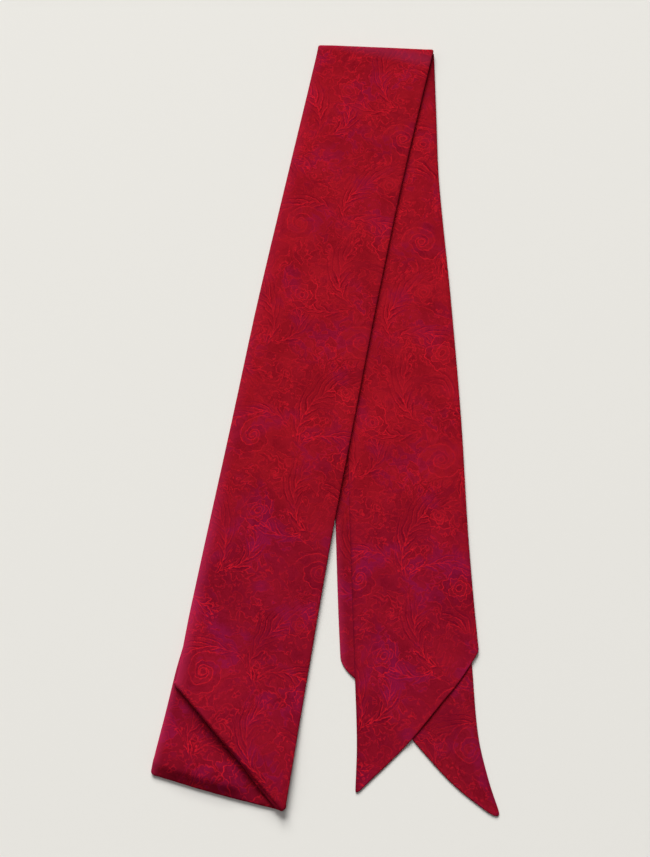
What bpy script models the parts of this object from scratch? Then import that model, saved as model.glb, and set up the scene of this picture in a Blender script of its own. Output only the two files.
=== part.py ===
"""A skinny silk neck scarf, folded flat: one sewn tube with two slanted ends.

The scarf is folded in half at its middle, and the doubled strip is folded once more over the top. The right leg
holds the two loose ends. The left leg lies across it and ends in the middle fold, with one corner turned under.
Lengths are in metres. +X is to the right, +Y runs from the loose ends to the top fold, and +Z is up. Every stretch
of the tube is one sheet with a real wall. The layers that nobody sees share one solid, with a groove along its
edges where the layers part.
"""

import math

import bmesh
import bpy
from mathutils import Vector

MM = 0.001
ORIGIN = Vector((-0.3, 16.0, 0.0)) * MM  # middle of the outline, in the frame of the tables below

# Cloth
WALL = 1.1 * MM  # the flattened tube, both of its sides
GAP = 0.3 * MM  # air between two layers
PITCH = WALL + GAP
HEM = 0.8 * MM  # how far in from an edge the wall is full
EDGE_SHARE = 0.45  # share of the wall that is left at the very edge
WIDTH = 60 * MM  # the finished scarf

# Heights of the middle of each sheet above the surface that the scarf lies on
BED = WALL / 2
SECOND = BED + PITCH
THIRD = BED + 2 * PITCH
RAISED = THIRD + 1.7 * MM  # the front stretch where it crosses the right leg, and at its slanted crease
SLOPE_RUN = 14 * MM  # the left leg comes down beside the right one over this length

# Top fold
FOLD_Y = 215.0 * MM  # its outermost line where x is 0
FOLD_DROP = 0.062  # the fall of that line to the right, per metre
FOLD_RETURN = 9 * MM  # how far the cloth runs back beneath it
RETURN_SHIFT = 1.6 * MM  # the cloth beneath leans to the right, towards the other leg
TUCK = 6 * MM  # the layers inside the fold end this far short of it

# Slanted crease, where the corner of the front stretch is turned under
CREASE_LEFT = Vector((-70.4, -124.3)) * MM
CREASE_RIGHT = Vector((-19.0, -181.8)) * MM
CREASE_RETURN = 14 * MM  # the widest part of the turned corner
CREASE_TAPER = (18 * MM, 30 * MM)  # it narrows over these lengths, left and right
CREASE_FLAT = 18 * MM  # the front stretch stays raised this far in from the crease
CREASE_RUN = 16 * MM  # and comes down over this length

# Middle fold
NECK_BULGE = 1.0 * MM  # extra height of the round fold
NECK_BULGE_RUN = 12 * MM
NECK_BULGE_END = (0.1, 0.6)  # places across the stretch between which the bulge dies out
NECK_JOIN = (-96.0, -107.0)  # y of the hidden upper end of this stretch, left and right

# The upper loose end comes down off the end of the lower one, which starts this far out and takes this long
STEP_START = 2.2 * MM
STEP_RUN = 8 * MM

# Outlines in millimetres: y, left edge, right edge
FRONT_ROWS = (
    (216.0, -3.0, 58.6),
    (134.0, -20.6, 40.7),
    (66.0, -34.5, 26.6),
    (3.0, -46.2, 14.2),
    (-57.0, -57.6, 2.9),
    (-114.0, -68.4, -7.0),
    (-183.0, -82.0, -18.6),
)
NECK_ROWS = (
    (-90.0, -62.4, -4.6),
    (-112.0, -67.2, -8.4),
    (-126.0, -71.4, -10.8),
    (-163.0, -79.5, -16.6),
    (-183.0, -83.6, -20.2),
)
UPPER_ROWS = (
    (215.0, 2.0, 59.5),
    (171.0, 2.0, 59.6),
    (136.0, 3.0, 60.3),
    (68.0, 6.6, 64.0),
    (4.0, 10.6, 67.5),
    (-57.0, 12.2, 69.5),
    (-109.0, 13.6, 72.5),
    (-150.0, 14.7, 76.5),
    (-174.0, 13.8, 79.5),
)
UNDER_ROWS = (
    (215.0, -0.5, 59.0),
    (136.0, 0.8, 58.4),
    (68.0, 2.8, 61.6),
    (4.0, 4.4, 64.4),
    (-50.0, 5.2, 66.0),
    (-115.0, 7.4, 69.1),
    (-148.0, 10.5, 70.9),
    (-168.0, 13.5, 75.0),
    (-184.0, 16.5, 79.6),
)

# Ends in millimetres: y at the left edge, y at the right edge, sag of the line between them
UPPER_END = (-173.0, -109.2, -5.4)
UNDER_END = (-116.5, -183.6, -3.4)
NECK_END = (-165.4, -181.0, -1.4)

# Side of the hidden layers: share of the height, depth in from the side in millimetres. The dip is the groove.
HIDDEN_SIDE = (
    (1.0, 0.9),
    (0.9, 0.15),
    (0.72, 0.0),
    (0.57, 0.35),
    (0.5, 2.4),
    (0.43, 0.35),
    (0.28, 0.0),
    (0.1, 0.15),
    (0.0, 0.9),
)
HIDDEN_INSET = 1.2 * MM  # the hidden layers keep this far inside the front stretch
HIDDEN_BORDER = 3 * MM  # width of the strip at each side that holds the rounded edge
HIDDEN_SLACK = 0.12 * MM  # more air above them, for the facets of the slope
HIDDEN_COLUMNS = 12

# Grid rows
TURN_STEPS = 8  # along each half round
NEAR_CREASE = (0.015, 0.04, 0.07, 0.1, 0.13, 0.17, 0.22, 0.28, 0.35, 0.42, 0.5)
FAR_FROM_CREASE = (0.58, 0.66, 0.74, 0.82, 0.89, 0.95)
LEG_ENTRY = 0.12  # share of the leg over which its columns leave the crease and take the outline


def smooth(value):
    """A rise from 0 to 1 with level ends."""
    value = min(max(value, 0.0), 1.0)
    return value * value * (3.0 - 2.0 * value)


def edges_at(rows, y):
    """Left and right edge of an outline at y, on a smooth curve through its rows."""
    rows = sorted(rows)
    y_mm = min(max(y / MM, rows[0][0]), rows[-1][0])
    low = max(i for i in range(len(rows) - 1) if rows[i][0] <= y_mm)
    before, start, end = rows[max(low - 1, 0)], rows[low], rows[low + 1]
    after = rows[min(low + 2, len(rows) - 1)]
    span = end[0] - start[0]
    t = (y_mm - start[0]) / span
    edges = []
    for side in (1, 2):
        leave = span * (end[side] - before[side]) / (end[0] - before[0])
        arrive = span * (after[side] - start[side]) / (after[0] - start[0])
        fixed = (2 * t**3 - 3 * t**2 + 1) * start[side] + (3 * t**2 - 2 * t**3) * end[side]
        slope = (t**3 - 2 * t**2 + t) * leave + (t**3 - t**2) * arrive
        edges.append((fixed + slope) * MM)
    return edges


def across(rows, y, c):
    """x of the point at place c across an outline, from -1 at its left edge to 1 at its right edge."""
    left, right = edges_at(rows, y)
    return (left + right) / 2 + c * (right - left) / 2


def end_y(end, c):
    """y of an end at place c."""
    left, right, sag = end
    return (left + (right - left) * (c + 1) / 2 + sag * (1 - c * c)) * MM


def join_y(c):
    """y of the hidden upper end of the neck stretch at place c."""
    return (NECK_JOIN[0] + (NECK_JOIN[1] - NECK_JOIN[0]) * (c + 1) / 2) * MM


def fold_y(x):
    """y of the outermost line of the top fold."""
    return FOLD_Y - FOLD_DROP * x


def top_edge(c):
    """The point of the front stretch on the top fold at place c."""
    x = across(FRONT_ROWS, FOLD_Y, c)
    return Vector((x, fold_y(x)))


def leg_rise(x, y):
    """0 where the left leg lies on the surface, 1 where it lies on the right leg."""
    return smooth((x - edges_at(UPPER_ROWS, y)[0] + SLOPE_RUN) / SLOPE_RUN)


def crease_inward():
    """Unit vector from the slanted crease into the front stretch."""
    along = (CREASE_RIGHT - CREASE_LEFT).normalized()
    return Vector((-along.y, along.x))


def front_height(x, y):
    """Middle of the front stretch."""
    distance = (Vector((x, y)) - CREASE_LEFT).dot(crease_inward())
    crease = 1 - smooth((distance - CREASE_FLAT) / CREASE_RUN)
    return THIRD + (RAISED - THIRD) * max(leg_rise(x, y), crease)


def rolled(edge, inward, top, bottom, travel):
    """A point on cloth that turns under at edge, travel past the start of its half round."""
    radius = (top - bottom) / 2
    turn = travel / radius
    if turn < math.pi:
        plan = edge + inward * radius * (1 - math.sin(turn))
        return Vector((plan.x, plan.y, bottom + radius * (1 + math.cos(turn))))
    plan = edge + inward * (radius + travel - math.pi * radius)
    return Vector((plan.x, plan.y, bottom))


def even_shares(count, hem=0.0):
    """Shares from 0 to 1 in count equal steps, with one more beside each end when a hem is given."""
    shares = [i / count for i in range(count + 1)]
    return [0.0, hem] + shares[1:-1] + [1.0 - hem, 1.0] if hem else shares


def columns(count):
    """Places across a sheet from -1 to 1, with one just inside each edge."""
    return [2 * share - 1 for share in even_shares(count, HEM / WIDTH)]


def add_object(name, shape, colour, collection):
    """One named object with its own material, from a bmesh."""
    bmesh.ops.recalc_face_normals(shape, faces=shape.faces)
    mesh = bpy.data.meshes.new(name)
    shape.to_mesh(mesh)
    shape.free()
    mesh.shade_smooth()
    material = bpy.data.materials.new(name + "_silk")
    material.use_nodes = True
    shader = material.node_tree.nodes["Principled BSDF"]
    shader.inputs["Base Color"].default_value = (*colour, 1.0)
    shader.inputs["Roughness"].default_value = 0.45
    mesh.materials.append(material)
    obj = bpy.data.objects.new(name, mesh)
    obj.location = -ORIGIN
    collection.objects.link(obj)
    return obj


def add_sheet(name, places, lines, place_point, colour, collection):
    """A sheet of cloth: a grid placed by place_point(c, line), with a wall that is thinner at its edges."""
    grid = bmesh.new()
    wide, long = len(places), len(lines)
    bmesh.ops.create_grid(grid, x_segments=wide - 1, y_segments=long - 1)
    grid.verts.ensure_lookup_table()
    for index, vert in enumerate(grid.verts):
        vert.co = place_point(places[index % wide], lines[index // wide])
    obj = add_object(name, grid, colour, collection)
    inner = [line * wide + column for line in range(1, long - 1) for column in range(1, wide - 1)]
    obj.vertex_groups.new(name="full_wall").add(inner, 1.0, "REPLACE")
    wall = obj.modifiers.new("wall", "SOLIDIFY")
    wall.thickness = WALL
    wall.offset = 0.0
    wall.vertex_group = "full_wall"
    wall.thickness_vertex_group = EDGE_SHARE
    return obj


def front_stretch(collection):
    """The stretch on top of the left leg, from its turned corner up and over the top fold."""
    turn = even_shares(TURN_STEPS)
    lines = [("turned_under", share) for share in (1.0, 0.93, 0.5)]
    lines += [("crease", share) for share in reversed(turn)]
    lines += [("leg", share) for share in NEAR_CREASE + FAR_FROM_CREASE]
    lines += [("fold", share) for share in turn]
    lines += [("return", share) for share in (0.5, 0.92, 1.0)]
    crease_length = (CREASE_RIGHT - CREASE_LEFT).length
    crease_radius = (RAISED - THIRD) / 2

    def place_point(c, line):
        kind, share = line
        spot = (c + 1) / 2
        crease = CREASE_LEFT.lerp(CREASE_RIGHT, spot)
        top = top_edge(c)
        height = front_height(top.x, top.y)
        radius = (height - BED) / 2
        if kind == "crease":
            return rolled(crease, crease_inward(), RAISED, THIRD, share * math.pi * crease_radius)
        if kind == "turned_under":
            from_left = smooth(spot * crease_length / CREASE_TAPER[0])
            from_right = smooth((1 - spot) * crease_length / CREASE_TAPER[1])
            travel = math.pi * crease_radius + GAP + share * CREASE_RETURN * from_left * from_right
            return rolled(crease, crease_inward(), RAISED, THIRD, travel)
        if kind == "fold":
            return rolled(top, Vector((0, -1)), height, BED, share * math.pi * radius)
        if kind == "return":
            travel = math.pi * radius + share * FOLD_RETURN
            lean = Vector((RETURN_SHIFT * smooth(2 * share), 0, 0))
            return rolled(top, Vector((0, -1)), height, BED, travel) + lean
        start = crease + crease_inward() * crease_radius
        y = start.y + (top.y - radius - start.y) * share
        x = across(FRONT_ROWS, y, c)
        x += (start.x - across(FRONT_ROWS, start.y, c)) * (1 - smooth(share / LEG_ENTRY))
        return Vector((x, y, front_height(x, y)))

    return add_sheet("front_stretch", columns(14), lines, place_point, (0.36, 0.008, 0.02), collection)


def neck_stretch(collection):
    """The stretch that shows below the slanted crease, round the middle fold and back beneath itself."""
    lines = [("upper", share) for share in (1.0, 0.985, 0.86, 0.7, 0.54, 0.4, 0.3, 0.22, 0.15, 0.08)]
    lines += [("fold", share) for share in even_shares(TURN_STEPS)]
    lines += [("lower", share) for share in (0.15, 0.4, 0.7, 0.985, 1.0)]

    def place_point(c, line):
        kind, share = line
        edge = Vector((across(NECK_ROWS, end_y(NECK_END, c), c), end_y(NECK_END, c)))
        fade = (c - NECK_BULGE_END[0]) / (NECK_BULGE_END[1] - NECK_BULGE_END[0])
        bulge = NECK_BULGE * (1 - smooth(fade))
        radius = (SECOND + bulge - BED) / 2
        if kind == "fold":
            return rolled(edge, Vector((0, 1)), SECOND + bulge, BED, share * math.pi * radius)
        start = edge.y + radius
        y = start + (join_y(c) - start) * share
        height = BED if kind == "lower" else SECOND + bulge * (1 - smooth((y - start) / NECK_BULGE_RUN))
        return Vector((across(NECK_ROWS, y, c), y, height))

    return add_sheet("neck_stretch", columns(10), lines, place_point, (0.33, 0.008, 0.02), collection)


def upper_tail(collection):
    """The upper loose end, on the other one, with its point resting on the surface."""
    lines = [0.0, 0.003] + [0.2 * i / 24 for i in range(1, 24)]
    lines += [0.2 + 0.8 * i / 14 for i in range(14)] + [0.997, 1.0]
    corner = Vector((across(UNDER_ROWS, end_y(UNDER_END, -1), -1), end_y(UNDER_END, -1)))
    middle = Vector((across(UNDER_ROWS, end_y(UNDER_END, 0), 0), end_y(UNDER_END, 0)))
    along = (middle - corner).normalized()
    outward = Vector((along.y, -along.x))

    def place_point(c, share):
        low = end_y(UPPER_END, c)
        y = low + (fold_y(0.0) - TUCK - low) * share
        x = across(UPPER_ROWS, y, c)
        beyond = (Vector((x, y)) - corner).dot(outward)
        return Vector((x, y, SECOND - PITCH * smooth((beyond - STEP_START) / STEP_RUN)))

    return add_sheet("upper_tail", columns(14), lines, place_point, (0.3, 0.007, 0.02), collection)


def under_tail(collection):
    """The lower loose end, flat on the surface, up to the cloth that comes round the top fold."""

    def place_point(c, share):
        top = top_edge(c)
        radius = (front_height(top.x, top.y) - BED) / 2
        low = end_y(UNDER_END, c)
        y = low + (top.y - radius - FOLD_RETURN - GAP - low) * share
        return Vector((across(UNDER_ROWS, y, c), y, BED))

    lines = even_shares(18, 0.004)
    return add_sheet("under_tail", columns(8), lines, place_point, (0.27, 0.006, 0.02), collection)


def hidden_layers(collection):
    """The unseen layers of the left leg as one rounded solid, grooved along both sides where two layers part."""
    flat = [i / HIDDEN_COLUMNS for i in range(1, HIDDEN_COLUMNS)]
    loop = [("right", height, depth) for height, depth in HIDDEN_SIDE]
    loop += [("flat", 0.0, 1 - share) for share in flat]
    loop += [("left", height, depth) for height, depth in reversed(HIDDEN_SIDE)]
    loop += [("flat", 1.0, share) for share in flat]
    lines = even_shares(22, 0.003)

    def place_point(kind, height, depth, line):
        c = {"left": -1.0, "right": 1.0, "flat": 2 * depth - 1}[kind]
        low = join_y(c) + GAP + HEM / 4
        y = low + (top_edge(c).y - TUCK - low) * line
        left, right = edges_at(FRONT_ROWS, y)
        left += HIDDEN_INSET
        right -= HIDDEN_INSET
        x = {
            "left": left + depth * MM,
            "right": right - depth * MM,
            "flat": left + HIDDEN_BORDER + (right - left - 2 * HIDDEN_BORDER) * depth,
        }[kind]
        rise = leg_rise(x, y)
        base = 2 * PITCH * rise
        top = 2 * PITCH - GAP - HIDDEN_SLACK + (RAISED - THIRD) * rise
        if line in (0.0, 1.0):
            height = 0.5 + (height - 0.5) * (1 - EDGE_SHARE / 2)
        return Vector((x, y, base + (top - base) * height))

    shape = bmesh.new()
    wide = len(loop) + 1
    bmesh.ops.create_grid(shape, x_segments=wide - 1, y_segments=len(lines) - 1)
    shape.verts.ensure_lookup_table()
    for index, vert in enumerate(shape.verts):
        vert.co = place_point(*loop[index % wide % len(loop)], lines[index // wide])
    bmesh.ops.remove_doubles(shape, verts=shape.verts, dist=0.001 * MM)
    bmesh.ops.holes_fill(shape, edges=[edge for edge in shape.edges if edge.is_boundary])
    return add_object("hidden_layers", shape, (0.2, 0.005, 0.015), collection)


def main():
    """Clear the scene and build the scarf."""
    for obj in list(bpy.data.objects):
        bpy.data.objects.remove(obj)
    collection = bpy.data.collections.new("folded_scarf")
    bpy.context.scene.collection.children.link(collection)
    front_stretch(collection)
    neck_stretch(collection)
    hidden_layers(collection)
    upper_tail(collection)
    under_tail(collection)


main()
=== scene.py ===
"""Looks of a skinny red silk jacquard scarf, folded flat.

Every stretch of the scarf is a sewn tube, pressed flat. Its middle surface is laid out by formula from
short outline tables, a geometry node tree turns that surface into the two skins of the tube, and Solidify
gives the silk its own thickness. The brocade is drawn by shader node groups in millimetres of cloth, so it
follows the scarf round its folds. Lengths are in millimetres until a mesh is made, and +Y runs to the top
fold.
"""

import logging
import math
from dataclasses import dataclass, field
from enum import Enum

import bmesh
import bpy
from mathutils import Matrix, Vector, noise


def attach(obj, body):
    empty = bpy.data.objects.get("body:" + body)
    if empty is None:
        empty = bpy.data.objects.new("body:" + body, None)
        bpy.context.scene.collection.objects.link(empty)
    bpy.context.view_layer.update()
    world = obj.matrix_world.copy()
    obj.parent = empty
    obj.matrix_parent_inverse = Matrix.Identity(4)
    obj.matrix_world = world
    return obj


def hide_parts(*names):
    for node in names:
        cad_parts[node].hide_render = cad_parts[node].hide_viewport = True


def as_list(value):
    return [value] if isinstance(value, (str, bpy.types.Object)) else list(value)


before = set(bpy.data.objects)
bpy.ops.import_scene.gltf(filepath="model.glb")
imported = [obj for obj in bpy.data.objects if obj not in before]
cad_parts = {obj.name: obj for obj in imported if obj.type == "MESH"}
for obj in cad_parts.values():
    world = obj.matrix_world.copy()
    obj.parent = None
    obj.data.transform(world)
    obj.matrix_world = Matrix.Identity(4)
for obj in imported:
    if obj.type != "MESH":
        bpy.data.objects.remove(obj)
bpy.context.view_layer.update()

MM = 0.001
ORIGIN = Vector((-0.3, 16.0))  # middle of the outline, in the frame of the tables below
WIDTH = 60.0  # the finished scarf
HALF_WIDTH = WIDTH / 2
BODY = "root"

# Heights of the middle of each layer above the surface that the scarf lies on
BED = 0.5
STEP = 0.85  # one flattened tube on another
UPPER_TAIL_HEIGHT = BED + STEP
LEG_TOP = BED + 2 * STEP  # the first layer of the left leg where it crosses the right leg
LEG_STEP = 0.81  # the same on the left leg
FRONT_LOW = BED + 2 * STEP
FRONT_HIGH = LEG_TOP + 2 * LEG_STEP
CREASE_HIGH = 4.2
CREASE_LOW = 2.3
CREASE_BOW = 3.9  # how far the turned edge stands up in the middle
SLOPE_RUN = 14.0  # the left leg climbs onto the right leg over this length

# Folds
FOLD_Y = 217.1
FOLD_DROP = 0.049  # how fast the top fold falls towards the right
FOLD_NOSE = 1.5  # the top fold rounds away over this length
FOLD_CORNER = 1.1  # how far its corners are rounded
FOLD_RETURN = 9.0  # the cloth beneath the top fold
TUCK = 2.4  # how far the layers inside stop short of the top fold
UPPER_TUCK = 0.9  # and the right leg, the innermost of all
UNDER_GAP = 0.5  # between the under tail's far end and the cloth beneath the top fold
CREASE_LEFT = Vector((-70.4, -124.3))
CREASE_RIGHT = Vector((-19.0, -181.8))
CREASE_NOSE = 1.3  # the turned edge's half round
CREASE_CORNER = 2.0
CREASE_LIP = (1.0, 0.58, 0.07)  # the second edge at the right end: its depth, place and breadth
CREASE_GROOVE = (-0.4, 0.38, 0.06)  # and the groove above it
CREASE_RETURN = 14.0  # the cloth beneath the turned edge
CREASE_TAPER = (18.0, 30.0)  # it narrows over these lengths towards its two ends
CREASE_CLEAR = 0.4  # how far in it starts
CREASE_FLAT = 12.0  # the cloth stays up for this length behind the turned edge
CREASE_RUN = 26.0  # and comes down over this one
JOIN_SHARE = 0.12  # share of the front stretch where its sides leave the ends of the crease
SETTLE_SHARE = 0.06  # share of it where the ripples and the crown come in
TOP_SHARE = 0.03  # share of it where they level out for the top fold
NECK_NOSE = 1.7
NECK_CORNER = 1.8
NECK_BULGE = 2.8  # the fold is a soft roll, highest this far above the flat cloth
NECK_RISE = 5.4  # it swells over this length
NECK_FALL = 20.0  # and sinks over this one
NECK_SETTLE = 6.0  # the ripples come in over this length
NECK_GAP = 0.25  # between the two layers of the middle fold
NECK_LOW = -170.0  # about where the fold ends

# Outlines: y, left edge, right edge
FRONT_ROWS = (
    (216.0, -3.7, 59.7),
    (134.0, -20.9, 40.7),
    (66.0, -34.8, 26.6),
    (3.0, -46.5, 14.4),
    (-57.0, -57.9, 3.0),
    (-114.0, -68.6, -6.9),
    (-183.0, -82.0, -18.6),
)
NECK_ROWS = (
    (216.0, -2.2, 57.6),
    (134.0, -19.8, 39.6),
    (66.0, -33.6, 25.5),
    (3.0, -45.4, 13.2),
    (-57.0, -56.8, 1.9),
    (-104.0, -66.2, -6.8),
    (-118.0, -69.8, -9.4),
    (-130.0, -72.4, -11.6),
    (-163.0, -79.5, -16.6),
    (-183.0, -83.6, -20.4),
)
UPPER_ROWS = (
    (215.0, 2.0, 59.6),
    (171.0, 2.0, 59.9),
    (136.0, 3.0, 60.3),
    (68.0, 6.6, 64.6),
    (4.0, 10.6, 67.8),
    (-57.0, 12.2, 69.5),
    (-109.0, 13.6, 72.5),
    (-150.0, 14.7, 76.5),
    (-174.0, 13.8, 79.5),
)
UNDER_ROWS = (
    (215.0, -0.5, 59.0),
    (136.0, 0.8, 58.4),
    (68.0, 2.8, 61.6),
    (4.0, 4.4, 64.4),
    (-50.0, 5.2, 66.0),
    (-115.0, 7.4, 69.1),
    (-148.0, 10.5, 70.9),
    (-168.0, 13.5, 75.0),
    (-183.0, 16.3, 79.6),
    (-188.0, 17.2, 81.0),
)

# Ends: place across, y
UPPER_END = (
    (-1.0, -174.6),
    (-0.78, -167.8),
    (-0.48, -159.0),
    (-0.25, -152.2),
    (0.3, -134.3),
    (0.64, -123.5),
    (1.0, -109.8),
)
UNDER_END = (
    (-1.0, -116.5),
    (-0.4, -134.5),
    (0.09, -154.6),
    (0.4, -167.9),
    (0.65, -176.5),
    (1.0, -186.7),
)
NECK_END = ((-1.0, -164.9), (0.0, -173.4), (1.0, -180.7))

# Loose ends
TAIL_LENGTH = 381.0  # what a loose end's rows count up to
POINT_DROP = 7.0  # the upper point comes down to the surface over this length, past the under tail's end
POINT_CALM = 8.0  # its ripples weaken over this one
POINT_LEVEL = 6.0  # and its edges level out over this one
RIPPLE_SINK = 0.12  # how far a trough may reach down into the under tail

# The sewn tube
HALF_WALL = 0.34  # half its thickness in the middle of the scarf
EDGE_PUFF = 0.14  # it is thicker beside its outline
PUFF_PLACE = 1.0  # most so at this distance
PUFF_RUN = 1.6
EDGE_ROUND = 0.5  # the outline itself is round over this length
SILK = 0.16  # one thickness of the cloth
EDGE_STEPS = (0.0, 0.06, 0.2, 0.5, 1.0, 1.8, 3.0, 4.5, 6.5)
COLUMN_STEP = 2.35
ROW_STEP = 2.4
TURN_ROWS = 12  # rows of a half round
AXIS_ROWS = 12  # how many rows tell the way that the cloth runs

log = logging.getLogger("scarf")


def smooth(value: float) -> float:
    """Return a rise from 0 to 1 with level ends."""
    value = min(max(value, 0.0), 1.0)
    return value * value * (3.0 - 2.0 * value)


def curve_at(rows: tuple, place: float, column: int) -> float:
    """Read a column of a table on a smooth curve through its rows.

    Args:
        rows: the table, with the place first in each row.
        place: where to read it.
        column: which column to read.

    Returns:
        The value there.
    """
    rows = sorted(rows)
    place = min(max(place, rows[0][0]), rows[-1][0])
    low = max(i for i in range(len(rows) - 1) if rows[i][0] <= place)
    before, start, end = rows[max(low - 1, 0)], rows[low], rows[low + 1]
    after = rows[min(low + 2, len(rows) - 1)]
    span = end[0] - start[0]
    t = (place - start[0]) / span
    leave = span * (end[column] - before[column]) / (end[0] - before[0])
    arrive = span * (after[column] - start[column]) / (after[0] - start[0])
    fixed = (2 * t**3 - 3 * t**2 + 1) * start[column] + (3 * t**2 - 2 * t**3) * end[column]
    return fixed + (t**3 - 2 * t**2 + t) * leave + (t**3 - t**2) * arrive


def edges_at(rows: tuple, y: float) -> tuple[float, float]:
    """Read an outline on a smooth curve through its rows.

    Args:
        rows: the outline's rows, each y, left edge, right edge.
        y: where to read it.

    Returns:
        The left and the right edge.
    """
    return curve_at(rows, y, 1), curve_at(rows, y, 2)


def across(rows: tuple, y: float, c: float) -> float:
    """Return x at place c across an outline, from -1 at its left edge to 1 at its right edge."""
    left, right = edges_at(rows, y)
    return (left + right) / 2 + c * (right - left) / 2


def end_y(end: tuple, c: float) -> float:
    """Return y of a slanted end at place c."""
    return curve_at(end, c, 1)


def fold_y(x: float) -> float:
    """Return y of the outermost line of the top fold."""
    return FOLD_Y - FOLD_DROP * x


def top_edge(rows: tuple, c: float) -> Vector:
    """Find a stretch's point on the top fold.

    Args:
        rows: the stretch's outline.
        c: the place across.

    Returns:
        The point, in the tables' frame.
    """
    x = across(rows, FOLD_Y, c)
    side = (1 - abs(c)) * HALF_WIDTH
    return Vector((x, fold_y(x) - corner_cut(side, FOLD_CORNER)))


def leg_rise(x: float, y: float) -> float:
    """Return 0 where the left leg lies on the surface and 1 where it lies on the right leg."""
    return smooth((x - edges_at(UPPER_ROWS, y)[0] + SLOPE_RUN) / SLOPE_RUN)


def crease_inward() -> Vector:
    """Return the unit vector from the slanted crease into the front stretch."""
    along = (CREASE_RIGHT - CREASE_LEFT).normalized()
    return Vector((-along.y, along.x))


def crease_distance(x: float, y: float) -> float:
    """Return the distance from the slanted crease, positive on the front stretch's side."""
    return (Vector((x, y)) - CREASE_LEFT).dot(crease_inward())


def turned_height(top: float, bottom: float, turn: float) -> float:
    """Return the height on cloth that turns under, from top at turn 0 to bottom at turn pi."""
    return bottom + (top - bottom) / 2 * (1 + math.cos(turn))


def corner_cut(distance: float, reach: float) -> float:
    """Return how far a quarter round of that reach cuts a corner back, at a distance from its side."""
    return reach * (1 - math.sqrt(1 - (1 - min(distance / reach, 1.0)) ** 2))


def steps_between(start: float, end: float, step: float) -> list[float]:
    """Return evenly spaced values from just after start to just before end, about step apart."""
    count = max(1, round((end - start) / step))
    return [start + (end - start) * i / count for i in range(1, count)]


def column_places() -> list[float]:
    """Space a sheet's columns, close together beside its edges.

    Returns:
        Their places, from -1 to 1.
    """
    edge = [HALF_WIDTH - step for step in EDGE_STEPS]
    inner = steps_between(0.0, edge[-1], COLUMN_STEP)
    half = [*inner, *reversed(edge)]
    return [-x / HALF_WIDTH for x in reversed(half)] + [0.0] + [x / HALF_WIDTH for x in half]


def end_rows(length: float) -> list[float]:
    """Return distances from a sewn end, close together beside it, up to length."""
    return [*EDGE_STEPS, *steps_between(EDGE_STEPS[-1], length, ROW_STEP), length]


def rounded_corner(a: float, b: float, reach: float) -> tuple[float, float]:
    """Round a square corner.

    Args:
        a: distance from one edge.
        b: distance from the edge that meets it.
        reach: size of the corner that is rounded.

    Returns:
        The two distances after rounding.
    """
    if a >= reach or b >= reach:
        return a, b
    p, q = 1 - a / reach, 1 - b / reach
    scale = max(p, q) / math.hypot(p, q)
    return reach * (1 - p * scale), reach * (1 - q * scale)


def opaque(colour: tuple[float, float, float]) -> tuple[float, float, float, float]:
    """Return a colour with full alpha."""
    return (*colour, 1.0)


def linked(name: str, data: bpy.types.ID) -> bpy.types.Object:
    """Make an object of some data and put it in the scene.

    Args:
        name: the object's name.
        data: its mesh, camera or lamp.

    Returns:
        The object.
    """
    obj = bpy.data.objects.new(name, data)
    bpy.context.scene.collection.objects.link(obj)
    return obj


class Line(Enum):
    """The runs of rows that a stretch is made of."""

    HIDDEN_FLAP = "hidden_flap"
    CREASE = "crease"
    BODY = "body"
    FOLD = "fold"
    RETURN = "return"


Row = tuple[Line, float]  # a row of a stretch: its run, and how far along the run it lies


@dataclass(frozen=True)
class Ripple:
    """A soft ridge or trough, given one by one, in the tables' frame.

    The sign of depth tells a ridge from a trough. angle is the direction that it runs in, in degrees
    from +X.
    """

    x: float
    y: float
    angle: float
    length: float
    width: float
    depth: float

    def height(self, x: float, y: float) -> float:
        """Read the ripple at a point.

        Args:
            x: a point's x, in the tables' frame.
            y: its y.

        Returns:
            What the ripple adds to the height there.
        """
        turn = math.radians(self.angle)
        dx, dy = x - self.x, y - self.y
        along = (dx * math.cos(turn) + dy * math.sin(turn)) / (self.length / 2)
        side = (dy * math.cos(turn) - dx * math.sin(turn)) / self.width
        if abs(along) >= 1 or abs(side) > 4:
            return 0.0
        return self.depth * (1 - along * along) ** 2 * math.exp(-side * side)


@dataclass(frozen=True)
class SilkFinish:
    """Colours and gloss of one stretch of the brocade, as linear values, with the colours and reaches of
    the light and shade painted along its edges and by the top fold.
    """

    name: str
    ground: tuple[float, float, float] = (0.318, 0.0078, 0.0146)
    deep: tuple[float, float, float] = (0.125, 0.0020, 0.0065)
    bloom: tuple[float, float, float] = (0.240, 0.0065, 0.0480)
    thread: tuple[float, float, float] = (0.620, 0.0105, 0.0220)
    rim: tuple[float, float, float] = (1.0, 0.08, 0.36)
    # painted light along the left long edge: a lighter magenta mixed into the colour as a painted sheen, or
    # a dark colour as painted shade
    edge: tuple[float, float, float] = (0.470, 0.0240, 0.0900)
    edge_width: float = 6.5  # how far in from the left long edge the painted edge colour reaches
    painted_edge_amount: float = 0.6
    # painted light below the top fold: a magenta painted sheen band, or on the upper tail a dark painted
    # shadow reaching far down
    fold: tuple[float, float, float] = (0.235, 0.0190, 0.0600)
    painted_fold_reach: float = 6.5
    painted_fold_amount: float = 0.0
    roughness: float = 0.58
    metallic: float = 0.09
    sheen: float = 0.14
    thread_amount: float = 0.9
    bloom_amount: float = 0.6
    shift: tuple[float, float] = (0.0, 0.0)
    dusk: tuple[float, float] = (-228.0, -285.0)  # where along the cloth its ground turns deeper


Tree = bpy.types.NodeTree
FLOAT = "NodeSocketFloat"
VECTOR = "NodeSocketVector"
COLOR = "NodeSocketColor"
GEOMETRY = "NodeSocketGeometry"
SOCKETS = {"Point": VECTOR, "Middle": VECTOR}  # what a shader group's socket holds, a number if not listed
SOCKETS |= dict.fromkeys(("Color", "Ground", "Deep", "Bloom", "Thread", "Edge", "Fold"), COLOR)
BEYOND = 20.0  # added to a count of leaflets or lobes, to keep it above 0


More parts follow.
